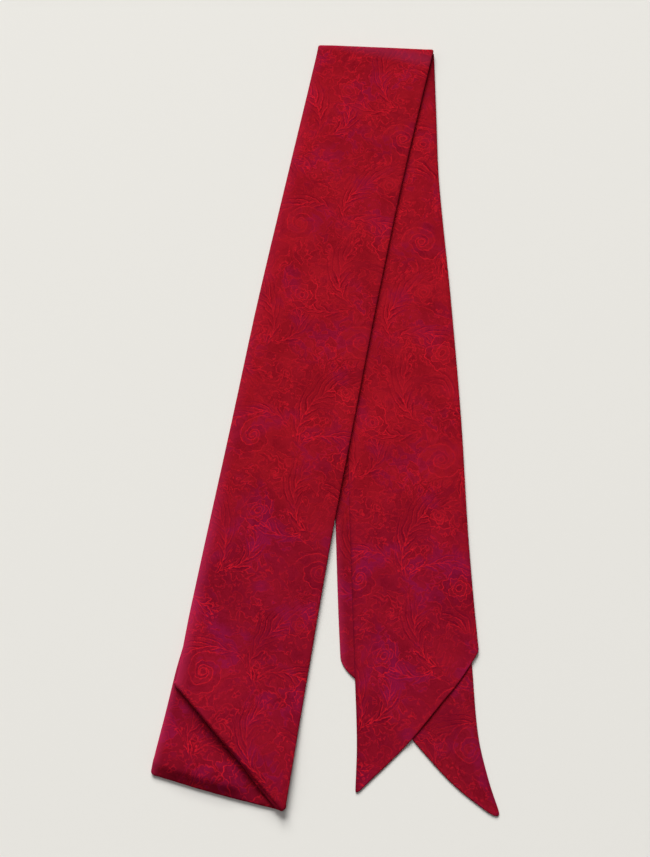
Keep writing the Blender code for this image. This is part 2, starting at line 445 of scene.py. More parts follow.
class Signal:
    """A value in a node tree, where arithmetic adds Math nodes."""

    def __init__(self, wiring: "Wiring", socket: bpy.types.NodeSocket) -> None:
        """Take the tree under construction and the socket that gives the value."""
        self.wiring = wiring
        self.socket = socket

    def via(self, operation: str, *others: object, clamp: bool = False) -> "Signal":
        """Return what a Math node makes of this value and the others."""
        return self.wiring.math(operation, self, *others, clamp=clamp)

    def __add__(self, other: object) -> "Signal":
        """Return the sum."""
        return self.via("ADD", other)

    def __sub__(self, other: object) -> "Signal":
        """Return the difference."""
        return self.via("SUBTRACT", other)

    def __rsub__(self, other: float) -> "Signal":
        """Return the difference from a plain number."""
        return self.wiring.math("SUBTRACT", other, self)

    def __mul__(self, other: object) -> "Signal":
        """Return the product."""
        return self.via("MULTIPLY", other)

    def __truediv__(self, other: object) -> "Signal":
        """Return the quotient."""
        return self.via("DIVIDE", other)

    def __pow__(self, other: float) -> "Signal":
        """Return the power."""
        return self.via("POWER", other)

    def __or__(self, other: object) -> "Signal":
        """Return the larger value, which joins two masks."""
        return self.via("MAXIMUM", other)

    def __abs__(self) -> "Signal":
        """Return the size without its sign."""
        return self.via("ABSOLUTE")

    def scaled(self, factor: object, plus: object) -> "Signal":
        """Return factor times this value, plus another."""
        return self.via("MULTIPLY_ADD", factor, plus)

    def ramp(self, low: object, high: object, start: float, end: float) -> "Signal":
        """Return a smooth change from start to end as the value goes from low to high."""
        given = {"Value": self, "From Min": low, "From Max": high, "To Min": start, "To Max": end}
        return self.wiring.get("ShaderNodeMapRange", given, interpolation_type="SMOOTHSTEP")

    def rise(self, low: object, high: object) -> "Signal":
        """Return a mask that comes in as the value goes from low to high."""
        return self.ramp(low, high, 0.0, 1.0)

    def fall(self, low: object, high: object) -> "Signal":
        """Return a mask that goes out as the value goes from low to high."""
        return self.ramp(low, high, 1.0, 0.0)


class Wiring:
    """A node tree under construction, with short calls for its nodes."""

    def __init__(self, tree: Tree) -> None:
        """Take the tree."""
        self.tree = tree

    def fill(self, socket: bpy.types.NodeSocket, value: object) -> None:
        """Link a signal to a node's input, or set a plain value there.

        Args:
            socket: the input.
            value: the signal or the plain value.
        """
        if isinstance(value, Signal):
            self.tree.links.new(value.socket, socket)
        else:
            socket.default_value = value

    def add(self, kind: str, values: dict | None = None, **settings: object) -> bpy.types.Node:
        """Add a node.

        Args:
            kind: its type.
            values: what goes into its inputs, by name.
            settings: its own settings.

        Returns:
            The node.
        """
        node = self.tree.nodes.new(kind)
        for name, value in settings.items():
            setattr(node, name, value)
        for label, value in (values or {}).items():
            self.fill(node.inputs[label], value)
        return node

    def signals(self, node: bpy.types.Node) -> dict[str, Signal]:
        """Return a node's outputs by name."""
        return {socket.name: Signal(self, socket) for socket in node.outputs if socket.enabled}

    def get(self, kind: str, values: dict | None = None, **settings: object) -> Signal:
        """Add a node and return its first output."""
        return Signal(self, self.add(kind, values, **settings).outputs[0])

    def math(self, operation: str, *values: object, clamp: bool = False) -> Signal:
        """Add a Math node and return its result."""
        return self.get("ShaderNodeMath", dict(enumerate(values)), operation=operation, use_clamp=clamp)

    def vector(self, operation: str, *values: object) -> Signal:
        """Add a Vector Math node and return its vector."""
        return self.get("ShaderNodeVectorMath", dict(enumerate(values)), operation=operation)

    def stretched(self, point: Signal, factor: object) -> Signal:
        """Return a vector times a number."""
        return self.get("ShaderNodeVectorMath", {0: point, "Scale": factor}, operation="SCALE")

    def split(self, value: Signal) -> list[Signal]:
        """Return the x, y and z of a vector."""
        return list(self.signals(self.add("ShaderNodeSeparateXYZ", {0: value})).values())

    def noise(self, point: Signal, scale: float, detail: float = 2.0, rough: float = 0.5) -> Signal:
        """Return the value of a Noise Texture."""
        values = {"Vector": point, "Scale": scale, "Detail": detail, "Roughness": rough}
        return self.get("ShaderNodeTexNoise", values)

    def mix(self, factor: Signal, first: Signal, second: Signal) -> Signal:
        """Mix two colours.

        Args:
            factor: 0 gives the first and 1 the second.
            first: one colour.
            second: the other.

        Returns:
            The colour between them.
        """
        node = self.add("ShaderNodeMix", data_type="RGBA")
        sockets = [socket for socket in node.inputs if socket.enabled]
        for socket, value in zip(sockets, (factor, first, second), strict=True):
            self.fill(socket, value)
        return self.signals(node)["Result"]

    def place(self, group: Tree, **values: object) -> dict[str, Signal]:
        """Place a group, with its inputs given by name (spaces as underscores), and return its outputs."""
        given = {label.replace("_", " "): value for label, value in values.items()}
        return self.signals(self.add("ShaderNodeGroup", given, node_tree=group))


class ShaderGroup(Wiring):
    """A shader node group under construction."""

    def __init__(self, name: str, inputs: tuple[str, ...], outputs: tuple[str, ...]) -> None:
        """Start a group.

        Args:
            name: its name.
            inputs: the names of its inputs.
            outputs: the names of its outputs.
        """
        super().__init__(bpy.data.node_groups.new(name, "ShaderNodeTree"))
        for way, labels in (("INPUT", inputs), ("OUTPUT", outputs)):
            for label in labels:
                kind = SOCKETS.get(label, FLOAT)
                self.tree.interface.new_socket(name=label, in_out=way, socket_type=kind)
        self.given = self.signals(self.add("NodeGroupInput"))
        self.sink = self.add("NodeGroupOutput")

    def close(self, **values: Signal) -> Tree:
        """Link the group's outputs.

        Args:
            values: what goes to each, by name.

        Returns:
            The group's tree.
        """
        for label, value in values.items():
            self.fill(self.sink.inputs[label], value)
        return self.tree


class Motif(Enum):
    """The kinds of figure in the brocade."""

    SCROLL = "scroll"
    FROND = "frond"
    ROSETTE = "rosette"
    PLUME = "plume"


@dataclass(frozen=True)
class Figure:
    """One figure of the repeat: its kind, middle and size in millimetres of cloth, and how it is turned.

    A plume starts at its middle and is as long as its size. Its bend is how far its rib turns in all, in
    radians, and its breadth is the length of its longest lobes.
    """

    kind: Motif
    x: float
    y: float
    radius: float
    angle: float
    hand: float
    bend: float = 1.4
    breadth: float = 8.0


@dataclass
class Brocade:
    """The scroll-and-leaf jacquard, drawn by shader node groups in millimetres of cloth."""

    repeat: tuple[float, float] = (74.0, 118.0)
    drift: float = 4.4  # how far figures stray from the repeat
    sway: float = 1.5  # how unevenly a figure's own lines are spaced
    wobble: float = 0.65  # shake of every outline
    crinkle: float = 0.45  # its finer shake
    thread: float = 0.35  # width of an outline
    figures: tuple[Figure, ...] = (
        Figure(Motif.PLUME, 30.0, 18.0, 38.0, 138.0, 1.0, 1.9, 9.0),
        Figure(Motif.PLUME, 37.0, 14.0, 36.0, 48.0, -1.0, 2.0, 8.5),
        Figure(Motif.PLUME, 34.0, 12.0, 50.0, 100.0, -1.0, 1.6, 11.0),
        Figure(Motif.ROSETTE, 54.0, 42.0, 6.5, 10.0, 1.0),
        Figure(Motif.SCROLL, 12.0, 11.0, 11.0, 40.0, 1.0),
        Figure(Motif.ROSETTE, 61.0, 8.0, 9.5, 30.0, 1.0),
        Figure(Motif.PLUME, 12.0, 62.0, 30.0, 8.0, 1.0, 2.0, 8.0),
        Figure(Motif.PLUME, 9.0, 60.0, 44.0, 72.0, 1.0, 1.6, 10.0),
        Figure(Motif.SCROLL, 56.0, 70.0, 12.0, 200.0, -1.0),
        Figure(Motif.PLUME, 46.0, 86.0, 32.0, 214.0, -1.0, 2.0, 8.0),
        Figure(Motif.PLUME, 48.0, 88.0, 38.0, 150.0, -1.0, 1.8, 9.5),
        Figure(Motif.ROSETTE, 22.0, 92.0, 8.5, 50.0, 1.0),
        Figure(Motif.FROND, 62.0, 100.0, 18.0, 35.0, 1.0),
        Figure(Motif.PLUME, 66.0, 64.0, 32.0, 262.0, 1.0, 1.7, 8.0),
    )
    groups: dict[str, Tree] = field(default_factory=dict)

    def build(self) -> None:
        """Build every group, each after those that it uses."""
        for name, make in (
            ("line", self.line_group),
            ("shake", self.shake_group),
            ("polar", self.polar_group),
            ("contour", self.contour_group),
            ("weave", self.weave_group),
            (Motif.SCROLL.value, self.scroll_group),
            (Motif.FROND.value, self.frond_group),
            (Motif.ROSETTE.value, self.rosette_group),
            (Motif.PLUME.value, self.plume_group),
            ("edge", self.painted_light_group),
            ("brocade", self.brocade_group),
        ):
            self.groups[name] = make()

    def line_group(self) -> Tree:
        """Make the group that turns a distance into a thread's mask.

        Returns:
            The group's tree.
        """
        group = ShaderGroup("Thread Line", ("Distance", "Width"), ("Mask",))
        width = group.given["Width"]
        core, rim = 0.28, 0.9
        return group.close(Mask=abs(group.given["Distance"]).fall(width * core, width * rim))

    def shake_group(self) -> Tree:
        """Make the group that shifts points by noise.

        Returns:
            The group's tree.
        """
        group = ShaderGroup("Shaken Cloth", ("Point", "Grain", "Reach"), ("Point",))
        point = group.given["Point"]
        scaled = {"Vector": group.stretched(point, group.given["Grain"]), "Scale": 1.0}
        colour = group.signals(group.add("ShaderNodeTexNoise", scaled))["Color"]
        centred = group.vector("SUBTRACT", colour, (0.5, 0.5, 0.5))
        shift = group.stretched(centred, group.given["Reach"] * 2.0)
        return group.close(Point=group.vector("ADD", point, shift))

    def polar_group(self) -> Tree:
        """Make the group that gives a point's place about a figure's middle, in the repeat.

        Returns:
            The group's tree.
        """
        group = ShaderGroup(
            "Figure Place", ("Point", "Middle", "Angle", "Hand"), ("Radius", "Turn", "Along", "Side")
        )
        given = group.given
        half = (self.repeat[0] / 2, self.repeat[1] / 2, 1.0)
        offset = group.vector("SUBTRACT", given["Point"], given["Middle"])
        x, y, _ = group.split(group.vector("WRAP", offset, half, [-side for side in half]))
        sine, cosine = given["Angle"].via("SINE"), given["Angle"].via("COSINE")
        along = x * cosine + y * sine
        side = (y * cosine - x * sine) * given["Hand"]
        radius = (x * x + y * y).via("SQRT") + 0.01
        return group.close(Radius=radius, Turn=side.via("ARCTAN2", along), Along=along, Side=side)

    def figure_head(self, name: str, *wanted: str) -> tuple:
        """Start a figure's group.

        Args:
            name: the group's name.
            wanted: the parts of a point's place in the figure that it draws with.

        Returns:
            The group, the figure's size and those parts.
        """
        shared = ("Point", "Middle", "Angle", "Hand")
        group = ShaderGroup(name, (*shared, "Size", "Width", "Bend", "Breadth"), ("Line", "Fill", "Body"))
        place = group.place(self.groups["polar"], **{label: group.given[label] for label in shared})
        return group, group.given["Size"], *(place[label] for label in wanted)

    def line(self, group: ShaderGroup, distance: Signal, wider: float = 1.0) -> Signal:
        """Return the mask of an outline at that distance, some times as wide as the group's own."""
        width = group.given["Width"] if wider == 1.0 else group.given["Width"] * wider
        return group.place(self.groups["line"], Distance=distance, Width=width)["Mask"]

    def scroll_group(self) -> Tree:
        """Make the group that draws a spiral scroll with a scalloped outer edge and an eye.

        Returns:
            The group's tree.
        """
        group, size, radius, turn = self.figure_head("Scroll", "Radius", "Turn")
        growth, scallops, depth, band, eye = 0.85, 4.5, 0.09, 0.46, 0.13
        share = radius / size
        phase = turn / math.tau + 10.0 + share.via("LOGARITHM", math.e) * growth
        lobed = phase - abs((turn * scallops).via("SINE")) * depth
        between = phase.via("FRACT")
        spacing = radius / math.hypot(1 / math.tau, growth)
        inner = between.via("MINIMUM", 1.0 - between) * spacing
        edge = (lobed.via("FRACT") - band) * spacing
        inside = share.fall(0.86, 1.02) * share.rise(0.10, 0.16)
        lines = (self.line(group, inner) | self.line(group, edge)) * inside
        lines = lines | self.line(group, (share - eye) * size)
        fill = edge.fall(-0.4, 0.0) * inside * 0.45
        return group.close(Line=lines * 0.78, Fill=fill, Body=share.fall(0.9, 1.0))

    def frond_group(self) -> Tree:
        """Make the group that draws a curling acanthus frond of pointed leaflets.

        Returns:
            The group's tree.
        """
        group, size, radius, turn = self.figure_head("Acanthus Frond", "Radius", "Turn")
        arms, curl, sector, narrow = 15.0, 1.5, 1.15, 0.62
        share = radius / size
        bent = (turn - share**1.4 * curl).via("WRAP", math.pi, -math.pi)
        between = (bent * (arms / math.tau) + BEYOND).via("FRACT")
        centred = abs(between - 0.5)
        pitch = radius * (math.tau / arms * narrow)
        spread = abs(bent) / sector
        tip = 1.0 - spread**2.0 * 0.55 - centred**1.5 * 0.75
        tips = (share - tip) * size
        inside, wedge, root = tips.fall(-0.3, 0.3), spread.fall(0.96, 1.04), share.rise(0.10, 0.45)
        rib = self.line(group, centred * pitch) * 0.45 * (tip - share).rise(0.05, 0.3)
        lines = (self.line(group, (0.5 - centred) * pitch) | rib) * inside * root
        lines = (lines | self.line(group, tips)) * wedge
        body = inside * wedge * root
        return group.close(Line=lines, Fill=between.rise(0.15, 0.85) * body, Body=body)

    def rosette_group(self) -> Tree:
        """Make the group that draws a small flower: petals, a ring and a seeded middle.

        Returns:
            The group's tree.
        """
        group, size, radius, turn = self.figure_head("Rosette", "Radius", "Turn")
        half_petals, notches, ring, seed, soft = 2.5, 13.0, 0.38, 0.17, 0.3
        round_petals = turn * half_petals
        share = radius / size * ((turn * notches).via("SINE") * 0.05 + 1.0)
        outer = share - abs(round_petals.via("COSINE")).scaled(0.24, 0.76)
        inner = share - abs(round_petals.via("SINE")).scaled(0.2, 0.46)
        edges = [edge * size for edge in (outer, inner, share - ring, share - seed)]
        lines = self.line(group, edges[0])
        for edge in edges[1:]:
            lines = lines | self.line(group, edge)
        body = edges[0].fall(-soft, soft)
        petals = body * edges[1].rise(-soft, soft)
        return group.close(Line=lines, Fill=(petals | edges[3].fall(-soft, soft)) * 0.55, Body=body)

    def plume_group(self) -> Tree:
        """Make the group that draws an acanthus plume: a bent rib with swept, pointed lobes.

        Returns:
            The group's tree.
        """
        group, size, along, side = self.figure_head("Acanthus Plume", "Along", "Side")
        pitch, sweep, curl, narrow, slant, farthest = 5.8, 1.9, 0.05, 0.7, 0.47, 20.0
        arc = size / group.given["Bend"]
        rest = arc - side
        run = along.via("ARCTAN2", rest) * arc
        aside = arc - (along * along + rest * rest).via("SQRT")
        hollow = aside.via("GREATER_THAN", 0.0)
        away = abs(aside).via("MINIMUM", farthest)
        start = run - away * away.scaled(curl, sweep)
        phase = start / pitch + hollow.scaled(0.5, BEYOND)
        between = phase.via("FRACT")
        spread = abs(between.scaled(2.0, -1.0))
        share = start / size
        shape = share.ramp(-0.04, 0.3, 0.2, 1.0) * share.ramp(0.4, 1.0, 1.0, 0.2)
        uneven = (phase.via("FLOOR") * 2.4).via("SINE").scaled(0.13, 0.93)
        most = group.given["Breadth"] * shape * uneven * hollow.scaled(narrow - 1.0, 1.0)
        edge = away - most * (spread**1.6).scaled(-0.6, 1.0)
        span = share.rise(-0.06, -0.03) * share.fall(1.0, 1.02)
        inside = edge.fall(-0.2, 0.2) * span
        half = pitch / 2 * slant
        vein = self.line(group, spread * half) * edge.ramp(-2.5, -0.8, 0.4, 0.0)
        lines = (self.line(group, (1.0 - spread) * half) | vein) * inside
        along_rib = run / size
        rib = along_rib.rise(-0.03, 0.03) * along_rib.fall(0.9, 1.0)
        lines = lines | self.line(group, edge) * span | self.line(group, aside) * rib
        return group.close(Line=lines, Fill=between.rise(0.1, 0.9) * inside, Body=inside)

    def contour_group(self) -> Tree:
        """Make the group that outlines patches of noise with a thread of even width.

        Returns:
            The group's tree.
        """
        group = ShaderGroup(
            "Outlined Patches", ("Point", "Grain", "Levels", "Width"), ("Line", "Shadow", "Fill")
        )
        levels, reach, aside = group.given["Levels"], 0.25, 0.75
        values = []
        for offset in ((0.0, 0.0, 0.0), (reach, 0.0, 0.0), (0.0, reach, 0.0)):
            point = group.stretched(group.vector("ADD", group.given["Point"], offset), group.given["Grain"])
            values.append(group.noise(point, 1.0, 3.5, 0.6))
        rise, slant = ((value - values[0]) / reach for value in values[1:])
        slope = (rise * rise + slant * slant).via("SQRT") * levels + 0.004
        phase = values[0] * levels
        between = phase.via("FRACT")
        nearest = between.via("MINIMUM", 1.0 - between)
        return group.close(
            Line=self.line(group, nearest / slope),
            Shadow=self.line(group, between / slope - aside, 1.7),
            Fill=phase.via("FLOOR").via("PINGPONG", 1.0),
        )

    def weave_group(self) -> Tree:
        """Make the group that gives the height of the satin's fine twill and its slubs.

        Returns:
            The group's tree.
        """
        group = ShaderGroup("Silk Weave", ("Point",), ("Height", "Slub"))
        point = group.given["Point"]
        x, y, _ = group.split(point)
        twill = ((x * 0.8 + y * 1.3) * (math.tau / 0.85)).via("SINE")
        slub = group.noise(group.vector("MULTIPLY", point, (3.2, 0.5, 1.0)), 1.0, 3.0, 0.7)
        pebble = group.noise(point, 1.6, 2.0, 0.6)
        return group.close(Height=twill * 0.12 + slub * 0.7 + pebble * 0.8, Slub=slub)

    def painted_light_group(self) -> Tree:
        """Make the group that paints light and shade into the colour: the Edge colour along the left long
        edge, painted shade along the right long edge, and the Fold colour by the top fold.

        Returns:
            The group's tree.
        """
        numbers = ("Across", "Along", "Width", "Amount", "Fold Reach", "Fold Amount", "Dusk")
        group = ShaderGroup("Shot Edge", ("Color", "Edge", "Fold", "Deep", *numbers), ("Color",))
        given = group.given
        fold_line, painted_shade_reach, painted_shade_amount = 2.0 * MM, 3.0 * MM, 0.18
        place = given["Across"].via("PINGPONG", WIDTH * MM)
        # painted light along the left long edge, stronger towards the deeper lower parts: a painted sheen,
        # and painted shade where the Edge colour is dark
        near = group.math("SUBTRACT", 1.0, place / given["Width"], clamp=True) ** 1.7
        near = near * given["Dusk"].scaled(0.72, 0.28) * given["Amount"]
        # painted light by the top fold: a painted sheen band on the front stretch, a painted shadow on the
        # upper tail
        fold = abs(given["Along"] - fold_line).fall(0.0, given["Fold Reach"]) * given["Fold Amount"]
        # painted shade: the right long edge turns towards the deep colour
        far = place.ramp(WIDTH * MM - painted_shade_reach, WIDTH * MM, 0.0, painted_shade_amount)
        colour = group.mix(fold, given["Color"], given["Fold"])
        colour = group.mix(near, colour, given["Edge"])
        return group.close(Color=group.mix(far, colour, given["Deep"]))

    def shaken(self, group: ShaderGroup, point: Signal, grain: float, reach: float) -> Signal:
        """Return a point shifted by noise of that grain."""
        return group.place(self.groups["shake"], Point=point, Grain=grain, Reach=reach)["Point"]

    def drawn(self, group: ShaderGroup, point: Signal) -> tuple[Signal, Signal, Signal]:
        """Lay the figures over each other.

        Args:
            group: the group to lay them in.
            point: the point of the cloth.

        Returns:
            The masks of their outlines, their fill and all that they cover.
        """
        line, fill, covered = 0.0, 0.0, 0.0
        for figure in self.figures:
            node = group.place(
                self.groups[figure.kind.value],
                Point=point,
                Middle=(figure.x, figure.y, 0.0),
                Size=figure.radius,
                Angle=math.radians(figure.angle),
                Hand=figure.hand,
                Width=self.thread,
                Bend=figure.bend,
                Breadth=figure.breadth,
            )
            shows = 1.0 - node["Body"]
            line = shows * line | node["Line"]
            fill = shows * fill | node["Fill"]
            covered = node["Body"] | covered
        return line, fill, covered

    def brocade_group(self) -> Tree:
        """Make the group that lays the figures and outlined patches over the ground.

        Returns:
            The group's tree.
        """
        colours = ("Ground", "Deep", "Bloom", "Thread")
        group = ShaderGroup(
            "Brocade", ("Point", *colours, "Thread Amount", "Bloom Amount", "Dusk"), ("Color", "Line")
        )
        given = group.given
        point, dusk = given["Point"], given["Dusk"]
        drifted = self.shaken(group, point, 0.028, self.drift)
        shaken = drifted
        for grain, reach in ((0.10, self.sway), (0.33, self.wobble), (0.95, self.crinkle)):
            shaken = self.shaken(group, shaken, grain, reach)
        line, fill, covered = self.drawn(group, shaken)
        curled = self.shaken(group, shaken, 0.075, 6.5)
        patches, thin = self.groups["contour"], self.thread * 0.9
        small = group.place(patches, Point=curled, Grain=0.095, Levels=8.0, Width=thin)
        large = group.place(patches, Point=drifted, Grain=0.035, Levels=5.0, Width=self.thread)
        filler = (small["Line"] * 0.66 | large["Line"] * 0.5) * (1.0 - covered * 0.85)
        wear = group.noise(point, 0.06, 3.0, 0.6).ramp(0.38, 0.62, 0.38, 1.0)
        broken = group.noise(point, 0.9).ramp(0.3, 0.6, 0.45, 1.0)
        lines = (line | filler) * wear * broken

        tone = group.noise(point, 0.045, 3.0, 0.6).rise(0.36, 0.66)
        tone = small["Fill"].scaled(0.10, tone.scaled(0.34, dusk * 0.22))
        tone = (fill.scaled(0.62, -0.16) * covered).scaled(wear, tone)
        colour = group.mix(tone.via("ADD", 0.03, clamp=True), given["Ground"], given["Deep"])

        elsewhere = group.vector("ADD", point, (40.0, 7.0, 0.0))
        cloud = group.noise(elsewhere, 0.04, 3.0, 0.55).rise(0.46, 0.66)
        patch = fill * 0.9 | small["Fill"] * 0.8
        bloom = patch.scaled(0.95, 0.2) * cloud + patch * 0.12 + dusk * 0.25
        amount = given["Bloom Amount"] * dusk.scaled(0.4, 0.6)
        colour = group.mix(bloom.via("MULTIPLY", amount, clamp=True), colour, given["Bloom"])

        dark = (small["Shadow"] | large["Shadow"]) * 0.35 * wear
        colour = group.mix(dark, colour, given["Deep"])
        strength = lines.via("MULTIPLY", given["Thread Amount"], clamp=True)
        colour = group.mix(strength, colour, given["Thread"])
        slub = group.place(self.groups["weave"], Point=point)["Slub"]
        colour = group.mix(slub.rise(0.3, 0.75) * 0.16, colour, given["Deep"])
        return group.close(Color=colour, Line=lines)

    def dress(self, finish: SilkFinish) -> bpy.types.Material:
        """Make a material of this brocade.

        Args:
            finish: its colours and gloss.

        Returns:
            The material.
        """
        material = bpy.data.materials.new(finish.name)
        material.use_nodes = True
        wiring = Wiring(material.node_tree)
        uv = wiring.get("ShaderNodeUVMap", uv_map="cloth")
        in_mm = {"Vector": uv, "Scale": (1 / MM, 1 / MM, 1.0), "Location": (*finish.shift, 0.0)}
        point = wiring.get("ShaderNodeMapping", in_mm)
        across, along, _ = wiring.split(uv)
        dusk = along.rise(finish.dusk[0] * MM, finish.dusk[1] * MM)
        brocade = wiring.place(
            self.groups["brocade"],
            Point=point,
            Ground=opaque(finish.ground),
            Deep=opaque(finish.deep),
            Bloom=opaque(finish.bloom),
            Thread=opaque(finish.thread),
            Thread_Amount=finish.thread_amount,
            Bloom_Amount=finish.bloom_amount,
            Dusk=dusk,
        )
        # painted sheen and painted shade along the edges and by the top fold, mixed over the brocade's
        # colour
        with_painted_light = wiring.place(
            self.groups["edge"],
            Color=brocade["Color"],
            Edge=opaque(finish.edge),
            Fold=opaque(finish.fold),
            Deep=opaque(finish.deep),
            Across=across,
            Along=along,
            Width=finish.edge_width * MM,
            Amount=finish.painted_edge_amount,
            Fold_Reach=finish.painted_fold_reach * MM,
            Fold_Amount=finish.painted_fold_amount,
            Dusk=dusk,
        )
        rough = {"Value": brocade["Line"], "To Min": finish.roughness, "To Max": finish.roughness + 0.12}
        height = wiring.place(self.groups["weave"], Point=point)["Height"]
        bump = {"Strength": 0.35, "Distance": 0.05 * MM, "Height": height}
        shader = material.node_tree.nodes["Principled BSDF"]
        for label, value in (
            ("Base Color", with_painted_light["Color"]),
            ("Roughness", wiring.get("ShaderNodeMapRange", rough)),
            ("Normal", wiring.get("ShaderNodeBump", bump)),
            ("Sheen Weight", finish.sheen),
            ("Sheen Roughness", 0.35),
            ("Sheen Tint", opaque(finish.rim)),
            ("Metallic", finish.metallic),
            ("Specular IOR Level", 0.0),
            ("Specular Tint", opaque(finish.rim)),
        ):
            wiring.fill(shader.inputs[label], value)
        return material


class TubeSkin(Wiring):
    """The geometry node tree that makes a flattened tube from its middle surface.

    The surface carries a half thickness at each point, which is 0 on its outline. Two copies are moved out
    along the normals by it, one is turned over, and the two are welded along the outline.
    """

    def __init__(self) -> None:
        """Build the tree, with its sizes as named inputs."""
        super().__init__(bpy.data.node_groups.new("Flattened Tube", "GeometryNodeTree"))
        sizes = ("Fullness", "Weld", "Pucker", "Pucker Size", "Seed", "Around")
        kinds = {"Geometry": GEOMETRY, **dict.fromkeys(sizes, FLOAT), "Material": "NodeSocketMaterial"}
        face = self.tree.interface
        self.inputs = {
            label: face.new_socket(name=label, in_out="INPUT", socket_type=kind).identifier
            for label, kind in kinds.items()
        }
        face.new_socket(name="Geometry", in_out="OUTPUT", socket_type=GEOMETRY)
        self.wire()

    def read(self, name: str, kind: str) -> Signal:
        """Return a named attribute of the surface."""
        node = self.add("GeometryNodeInputNamedAttribute", {"Name": name}, data_type=kind)
        return self.signals(node)["Attribute"]

    def wire(self) -> None:
        """Lay and link the nodes."""
        given = self.signals(self.add("NodeGroupInput"))
        half = self.read("half", "FLOAT")
        normal = self.get("GeometryNodeInputNormal")
        joined = self.add("GeometryNodeJoinGeometry")
        for sign in (1.0, -1.0):
            values = {"Detail": 1.5, "Scale": given["Pucker Size"], "W": given["Seed"] + sign}
            ruffle = self.get("ShaderNodeTexNoise", values, noise_dimensions="4D")
            pucker = (ruffle - 0.5).scaled(given["Pucker"], given["Fullness"])
            offset = self.stretched(normal, half * pucker * sign)
            skin = self.get("GeometryNodeSetPosition", {"Geometry": given["Geometry"], "Offset": offset})
            if sign < 0:
                skin = self.turned_over(skin, given["Around"])
            self.fill(joined.inputs[0], skin)
        weld = {"Geometry": Signal(self, joined.outputs[0]), "Distance": given["Weld"]}
        real = self.get("GeometryNodeRealizeInstances", {0: self.get("GeometryNodeMergeByDistance", weld)})
        dressed = self.get("GeometryNodeSetMaterial", {"Geometry": real, "Material": given["Material"]})
        self.add("NodeGroupOutput", {"Geometry": dressed})

    def turned_over(self, skin: Signal, around: Signal) -> Signal:
        """Flip the lower skin's faces and carry the cloth's coordinates on round the edge.

        Args:
            skin: the lower skin.
            around: the width of the cloth all round the tube.

        Returns:
            The flipped skin.
        """
        flipped = self.get("GeometryNodeFlipFaces", {"Mesh": skin})
        x, y, _ = self.split(self.read("cloth", "FLOAT_VECTOR"))
        moved = self.get("ShaderNodeCombineXYZ", {"X": around - x, "Y": y})
        values = {"Geometry": flipped, "Name": "cloth", "Value": moved}
        return self.get("GeometryNodeStoreNamedAttribute", values, data_type="FLOAT2", domain="CORNER")

    def apply(self, obj: bpy.types.Object, material: bpy.types.Material, seed: float) -> bpy.types.Object:
        """Run the tree and Solidify on a middle surface, and return the finished piece.

        Args:
            obj: the middle surface, which is removed.
            material: the silk that dresses it.
            seed: picks the tube's own puckers.

        Returns:
            A plain mesh object at the origin.
        """
        name = obj.name
        modifier = obj.modifiers.new("tube", "NODES")
        modifier.node_group = self.tree
        for label, value in (
            ("Fullness", 1.0),
            ("Weld", 0.004 * MM),
            ("Pucker", 0.9),
            ("Pucker Size", 90.0),
            ("Seed", seed),
            ("Around", 2 * WIDTH * MM),
            ("Material", material),
        ):
            modifier[self.inputs[label]] = value
        wall = obj.modifiers.new("silk", "SOLIDIFY")
        wall.thickness = SILK * MM
        wall.offset = -1.0
        graph = bpy.context.evaluated_depsgraph_get()
        graph.update()
        mesh = bpy.data.meshes.new_from_object(obj.evaluated_get(graph))
        bpy.data.objects.remove(obj)
        mesh.name = name
        mesh.shade_smooth()
        return linked(name, mesh)


